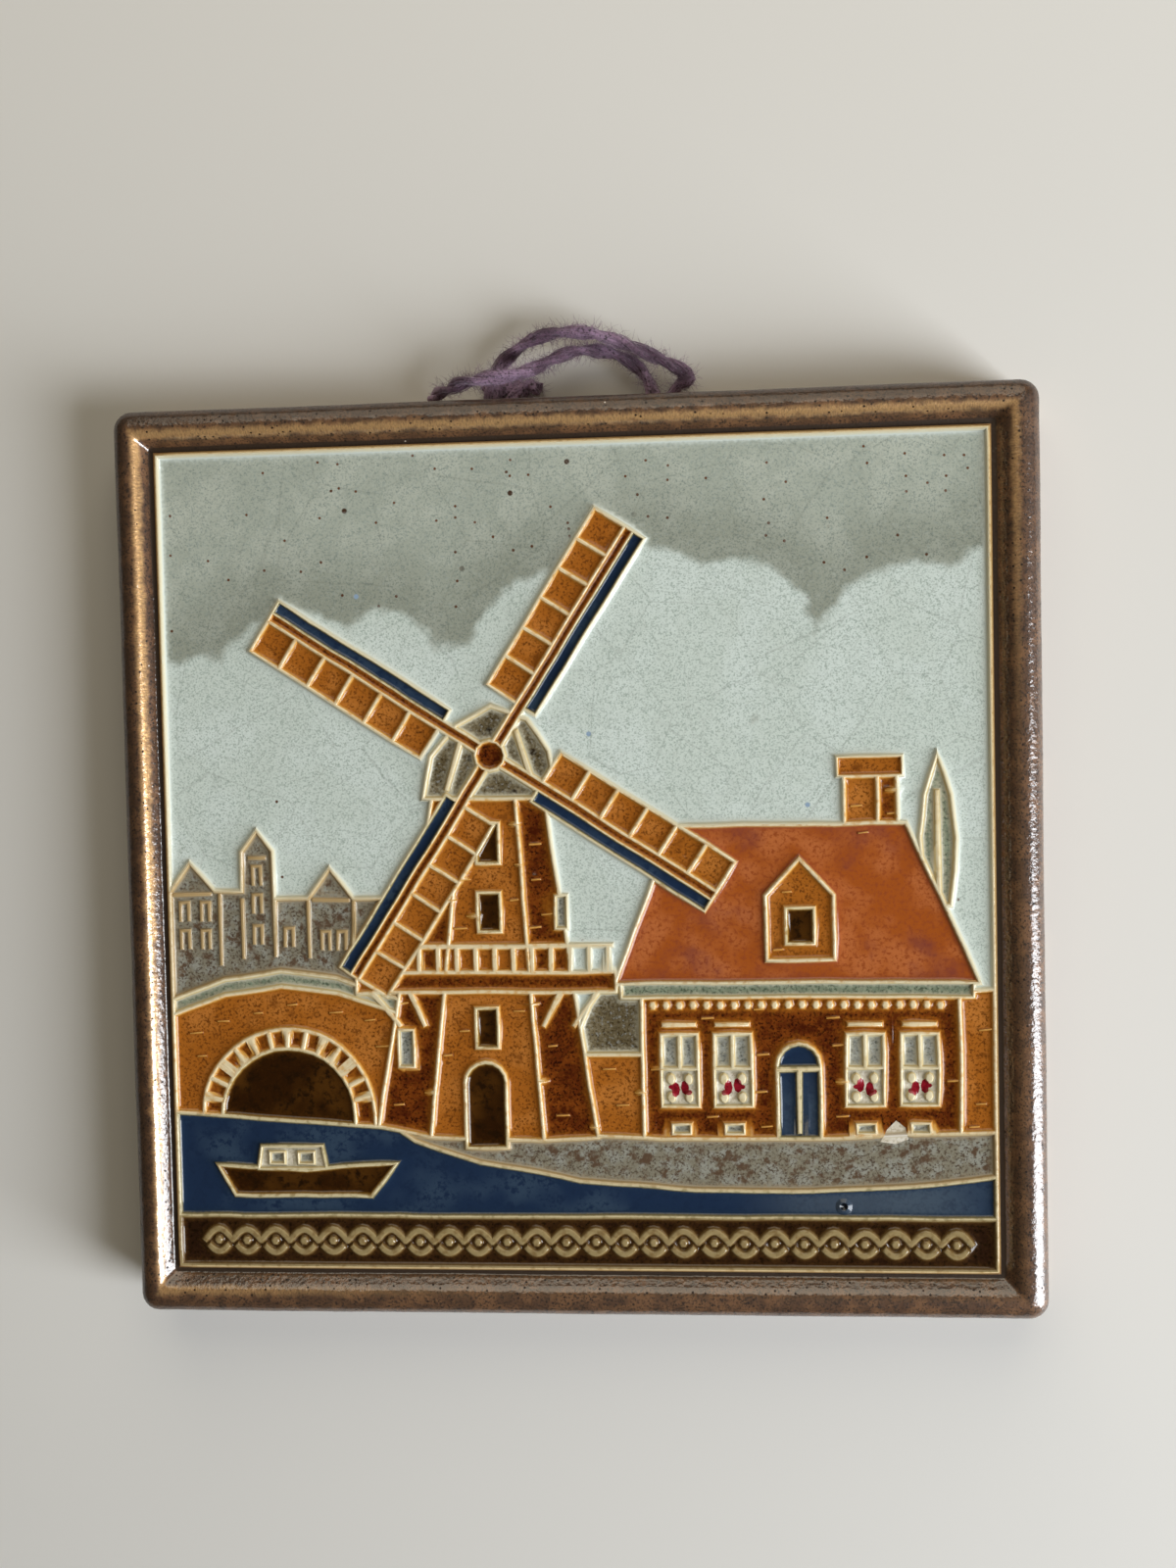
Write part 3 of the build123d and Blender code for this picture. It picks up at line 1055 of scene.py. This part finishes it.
def cobalt_glaze():
    """Deep blue glaze with a painted hazy reflection and one burst bubble near the lower right,
    whose pit has painted shade.
    """
    material, shader, place = new_material("cobalt_glaze", 0.12)
    colour, _ = mottled(place, "#1b2c46", "#1d2f4a", "#33455a", 9.0, 0.9)
    # Painted hazy reflection, lightest round one place near the lower right
    painted_haze = ramp(away(place, (34.0, -38.0, 9.5)), 18.0, 4.0, 0.0, 0.45)
    colour = mix(painted_haze, colour, "#5c6872")
    bubble = away(place, (31.0, -41.4, 9.5))
    # Painted shade in the bubble's pit
    colour = mix(ramp(bubble, 0.55, 0.35), colour, "#0a1018")
    over_outlines(shader, place, colour, "#22354c", "#8f8258", "#d8caa0")
    near = calc("LESS_THAN", bubble, 1.0)
    crater = product(calc("PINGPONG", bubble, 0.5), near)
    feed(shader, Normal=bump(0.5, crater))
    return material


PUFFS = [
    # x and y in hundredths of the panel, radius: pale clouds that stand before the dark bank
    (5, 66, 9), (17, 69, 11), (28, 74, 6), (37, 68, 8), (49, 73, 11), (60, 79, 8), (70, 76, 9),
    (80, 68, 8), (91, 72, 12), (101, 78, 8), (64, 67, 8),
]


def sky_glaze():
    """Pale grey-blue sky under a darker bank of cloud, with fine cracks in the glaze, rust specks
    and a few blue ones."""
    material, shader, place = new_material("sky_glaze", 0.17)
    colour, grains = mottled(place, "#a6b5ac", "#d6e1d9", "#dde8e2", 9.0, 0.2)
    bank, _ = mottled(place, "#909b93", "#b2b9ac", "#bec4b7", 5.0, 0.2)
    shade, _ = mottled(place, "#7c857c", "#9ca193", "#a6ab9e", 5.0, 0.2)
    bank = dotted(place, bank, "#6d4630", 2.3, 0.3, 0.22)
    bank = dotted(place, bank, "#4a3428", 7.0, 0.6, 0.25)
    shade = dotted(place, shade, "#5a3b2a", 2.3, 0.34, 0.24)
    edge = add("SeparateXYZ", {}, place).outputs["Y"]
    edge = calc("SUBTRACT", edge, PANEL_Y + (0.66 - 0.5) * PANEL)
    for x, y, radius in PUFFS:
        middle = (PANEL_X + (x / 100 - 0.5) * PANEL, PANEL_Y + (y / 100 - 0.5) * PANEL, RIDGE_Z)
        outside = calc("SUBTRACT", away(place, middle), radius * PANEL / 100)
        edge = calc("SMOOTH_MIN", edge, outside, 1.2)
    edge = calc("MULTIPLY_ADD", clouds(place, 2.2, 5.0), 2.4, edge)
    bank = mix(ramp(edge, 2.5, 12.0), shade, bank)
    colour = mix(ramp(edge, 0.7, 2.0), colour, bank)
    colour = dotted(place, colour, "#5d4030", 7.4, 0.34, 0.2)
    colour = dotted(place, colour, "#93abc4", 13.0, 0.55, 0.2)
    bent = clouds(place, 4.0, 2.0)
    bent = add("Mix", {"data_type": "VECTOR"}, 0.3, place, bent.outputs["Color"])
    for size, strength in ((2.4, 0.10), (8.0, 0.20)):
        cracks = add("TexVoronoi", {"feature": "DISTANCE_TO_EDGE"}, Vector=bent, Scale=1 / size)
        line = add("MapRange", {}, cracks, 0.0, 0.08 / size, strength, 0.0)
        colour = mix(line, colour, "#5f665c")
    over_outlines(shader, place, colour, "#d9e1d8", "#dfdcc4", "#dfd4b2")
    glossy_waves(shader, place, grains)
    return material


def frame_glaze():
    """Bronze-brown lustre glaze on the moulded frame. A painted gold highlight runs along the
    inner roll, most on the left and upper sides, with fine lines across, and painted shade lies on
    the outer roll on the same sides.
    The glaze pools dark in the groove, where shade is painted too, and pale glints are painted
    over it. The foot, the lowest edge of the walls and the hollow back are bare buff clay."""
    material, shader, place = new_material("bronze_lustre_glaze", 0.3)
    colour, grains = mottled(place, "#2f2016", "#5d402b", "#7c5739", 2.0, 0.3)
    x, y, height = add("SeparateXYZ", {}, place).outputs
    across = calc("ABSOLUTE", x)
    along = calc("ABSOLUTE", y)
    inward = calc("SUBTRACT", TILE_WIDTH / 2, calc("MAXIMUM", across, along))

    # Painted gold highlight on the inner roll, painted shade on the outer one, walls, glaze pooled
    # in the groove with painted shade, and pits
    inner = calc("ADD", clouds(place, 1.4, 5.0), inward)
    lengthwise = add("CombineXYZ", {}, calc("MINIMUM", across, along), inward)
    brushed = add("VectorMath", {"operation": "MULTIPLY"}, lengthwise, (4.4, 2.2, 1.0))
    lines = add("MapRange", {}, clouds(brushed, 1.0, 3.0), 0.36, 0.62, 0.4, 1.0)
    # Side share of the painted highlight and painted shade: full on the upper left, least on the
    # lower right
    painted_light_side = ramp(calc("SUBTRACT", y, x), -45.0, 20.0, 0.05, 1.0)
    # Painted gold highlight along the inner roll, with fine lines across
    band = product(ramp(inner, 2.9, 3.8), ramp(inner, 4.5, 3.8), lines, painted_light_side)
    wall = ramp(height, 9.5, 7.5, 0.0, 0.6)
    # Painted shade on the outer roll, strongest on the upper and left sides, none on the walls
    outer = product(ramp(inner, 3.1, 2.2), painted_light_side)
    shaded = product(calc("SUBTRACT", outer, wall, use_clamp=True), 0.55)
    # Glaze pooled dark in the groove, together with painted shade there
    pooled_glaze_and_shade = product(ramp(height, GROOVE_Z + 0.15, GROOVE_Z + 0.02),
                     calc("GREATER_THAN", inward, 2.5))
    pits = dots(place, 0.8, 0.27, 0.5, "3D")
    for share, tint in ((wall, "#6e4a2c"), (shaded, "#38271a"), (band, "#f0bf82"),
                        (pooled_glaze_and_shade, "#3a281a"), (pits, "#2a1c12")):
        colour = mix(share, colour, tint)
    # Pale dots: painted glints on the lustre
    colour = dotted(place, colour, "#e6dccf", 1.6, 0.2, 0.10, "3D")

    # Bare clay below a ragged line on the walls, and inside the foot
    clay, _ = mottled(place, "#8d6a4c", "#b08c68", "#bd9c7a", 6.0, 0.5)
    low = calc("MULTIPLY_ADD", clouds(place, 5.0, 5.0), -2.6, height)
    hollow = product(calc("GREATER_THAN", inward, FOOT_WIDTH - 0.3),
                     calc("LESS_THAN", height, RECESS_Z + 0.3))
    bare = calc("MAXIMUM", ramp(low, -0.5, -0.75), hollow)
    metal = product(calc("MULTIPLY_ADD", band, 0.45, 0.14), calc("SUBTRACT", 1.0, bare))
    dull = calc("MAXIMUM", calc("MAXIMUM", bare, pits), shaded)
    coat = calc("SUBTRACT", ramp(wall, 0.0, 0.6, 0.95, 0.25), dull)
    worn = add("MapRange", {}, grains, 0.3, 0.7, 0.5, 0.65)
    rough = add("Mix", {"data_type": "FLOAT"}, band, worn, 0.3)
    rough = add("Mix", {"data_type": "FLOAT"}, bare, rough, 0.85)
    right_side = ramp(x, 46.0, 51.0, 0.65, 1.0)
    pitted = bump(0.09, clouds(place, 0.55, 3.0), Strength=right_side)
    glossy_waves(shader, place, grains, 0.05)
    feed(shader, Base_Color=mix(bare, colour, clay), Metallic=metal, Roughness=rough,
         Coat_Weight=coat, Coat_Roughness=0.1, Coat_IOR=1.9, Coat_Normal=pitted)
    return material


def wool():
    """Mauve wool: dull, with darker brownish and lighter stretches."""
    material, shader, place = new_material("mauve_wool", 0.7)
    colour, _ = mottled(place, "#2e1e28", "#6f4f66", "#ab8ca8", 4.5, 0.35)
    feed(shader, Base_Color=colour, Sheen_Weight=0.8, Sheen_Tint=srgb("#ecdcec"))
    return material


GLAZES = {
    "sky": sky_glaze(),
    "stone": glaze("stone_glaze", "#54463a", "#888372", "#9a9a8f", 1.4, 0.3, STONE,
                   ("#5e4a3a", 1.3, 0.5, 0.14)),
    "stone_line": glaze("stone_outline", "#8c7a5c", "#b8a47a", "#c8b68c", 2.0, 0.3, STONE),
    "celadon": glaze("celadon_glaze", "#4a5644", "#7d8873", "#919c86", 2.0, 0.35, PALE),
    "ochre": glaze("ochre_glaze", "#6e3c12", "#ac6520", "#bf7833", 5.0, 0.32, GOLD,
                   ("#7a4314", 3.2, 0.2, 0.16)),
    "brown": glaze("brown_glaze", "#2c0a02", "#60290a", "#7c3d10", 1.8, 0.32, GOLD,
                   ("#471704", 2.2, 0.3, 0.14)),
    "olive": glaze("olive_glaze", "#40341f", "#64583f", "#766a50", 3.0, 0.35, PALE,
                   ("#8b8c86", 0.5, 0.3, 0.12), 0.2, ("#2c2216", 2.6, 0.8, 0.3)),
    "red_roof": glaze("red_roof_glaze", "#9a4c24", "#a9561f", "#bd6c3a", 5.0, 0.5,
                      ("#9c4e2c", "#c99a5c", "#e6dab6"), ("#6c343a", 9.0, 0.5, 0.3), 0.14),
    "red": glaze("red_enamel", "#6a0c18", "#8c1424", "#981e2c", 2.0, 0.4,
                 ("#8c1424", "#9a2230", "#b0555a")),
    "cobalt": cobalt_glaze(),
    "amber": glaze("amber_glaze", "#211003", "#2c1503", "#4d2e0c", 6.0, 1.2,
                   ("#4a2a08", "#9a7434", "#dccda2"), None, 0.1),
    "white": glaze("white_glaze", "#b8ab92", "#ddd5c2", "#e8e2d4", 1.2, 0.35, PALE),
    "pane": glaze("pane_glaze", "#55564f", "#8d8f88", "#a5a8a2", 1.2, 0.35, PALE),
    "band": glaze("band_glaze", "#140700", "#2a160a", "#36200e", 4.0, 0.5, DULL),
    "edge": glaze("panel_edge_glaze", "#5a4028", "#94704a", "#a8825a", 1.6, 0.4,
                  ("#94704a", "#b8945e", "#dcc494")),
    "line": glaze("bare_outline", "#c09c5c", "#e2cc9a", "#ead8ac", 2.0, 0.4,
                  ("#d0943c", "#dfc48e", "#ecd9b0")),
    "cord": glaze("bare_cord", "#5f4a2a", "#94805a", "#a8946c", 1.2, 0.4, DULL),
    "tick": glaze("brick_tick", "#a86c2c", "#cf9a4e", "#dcb068", 2.0, 0.4,
                  ("#cf9a4e", "#cf9a4e", "#dcb068")),
    "chip": glaze("bare_clay", "#b5a78c", "#d9d0bc", "#e6dfd0", 1.0, 0.4,
                  ("#cfc3a8", "#d9d0bc", "#e6dfd0"), None, 0.8),
}

noise.seed_set(SEED)
frame_piece = make_frame()
frame_piece.data.materials.append(frame_glaze())
for part in (frame_piece, make_picture(SEED)):
    select_only(part)
    bpy.ops.object.shade_smooth_by_angle(angle=radians(45))
    settle(part)
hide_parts("tile")
yarn, knot = make_yarn()
finish = wool()
for part in (yarn, knot):
    part.data.materials.append(finish)
    select_only(part)
    bpy.ops.object.shade_smooth()
    settle(part)
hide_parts("hanging_yarn")


# Camera at the photograph's place, fitted to the panel's corners

FOCAL_PIXELS = 2000
IMAGE_HEIGHT = 1600
SENSOR_HEIGHT = 36
camera_data = bpy.data.cameras.new("camera")
camera_data.sensor_fit = "VERTICAL"
camera_data.sensor_height = SENSOR_HEIGHT
camera_data.lens = FOCAL_PIXELS / IMAGE_HEIGHT * SENSOR_HEIGHT
camera_data.clip_start = 0.01
camera = linked("camera", camera_data)
facing = Matrix(((0.9946, -0.0219, -0.1018), (0.0169, 0.9986, -0.0502), (0.1028, 0.0482, 0.9935)))
stand = Matrix.Translation(Vector((25.57, 20.24, 239.9)) * MM)
camera.matrix_world = stand @ facing.inverted().to_4x4()
bpy.context.scene.camera = camera


# Pale table top and soft studio light

def make_stage():
    bpy.ops.object.select_all(action="DESELECT")
    bpy.ops.mesh.primitive_plane_add(size=3, location=(0, 0, -0.0001))
    floor = bpy.context.object
    floor.name = "table_top"
    material, shader, _ = new_material("pale_table", 0.6)
    feed(shader, Base_Color=srgb("#e6e4df"))
    floor.data.materials.append(material)


def area_light(name, place, target, size, power, colour):
    data = bpy.data.lights.new(name, "AREA")
    data.shape = "RECTANGLE"
    data.size, data.size_y = size
    data.energy = power
    data.color = colour
    lamp = linked(name, data)
    lamp.location = place
    lamp.rotation_euler = (Vector(target) - Vector(place)).to_track_quat("-Z", "Y").to_euler()


make_stage()
area_light("window", (0.62, -0.27, 0.36), (0, 0, 0), (0.36, 0.72), 8.8, (0.92, 0.955, 1.0))
area_light("room", (0.02, 0.42, 0.36), (0, 0, 0), (0.5, 0.5), 1.15, (1.0, 0.91, 0.74))
world = bpy.data.worlds.new("room")
world.use_nodes = True
bpy.context.scene.world = world
feed(world.node_tree.nodes["Background"], Color=srgb("#ffecc2"), Strength=0.05)
bpy.context.scene.view_settings.view_transform = "Standard"
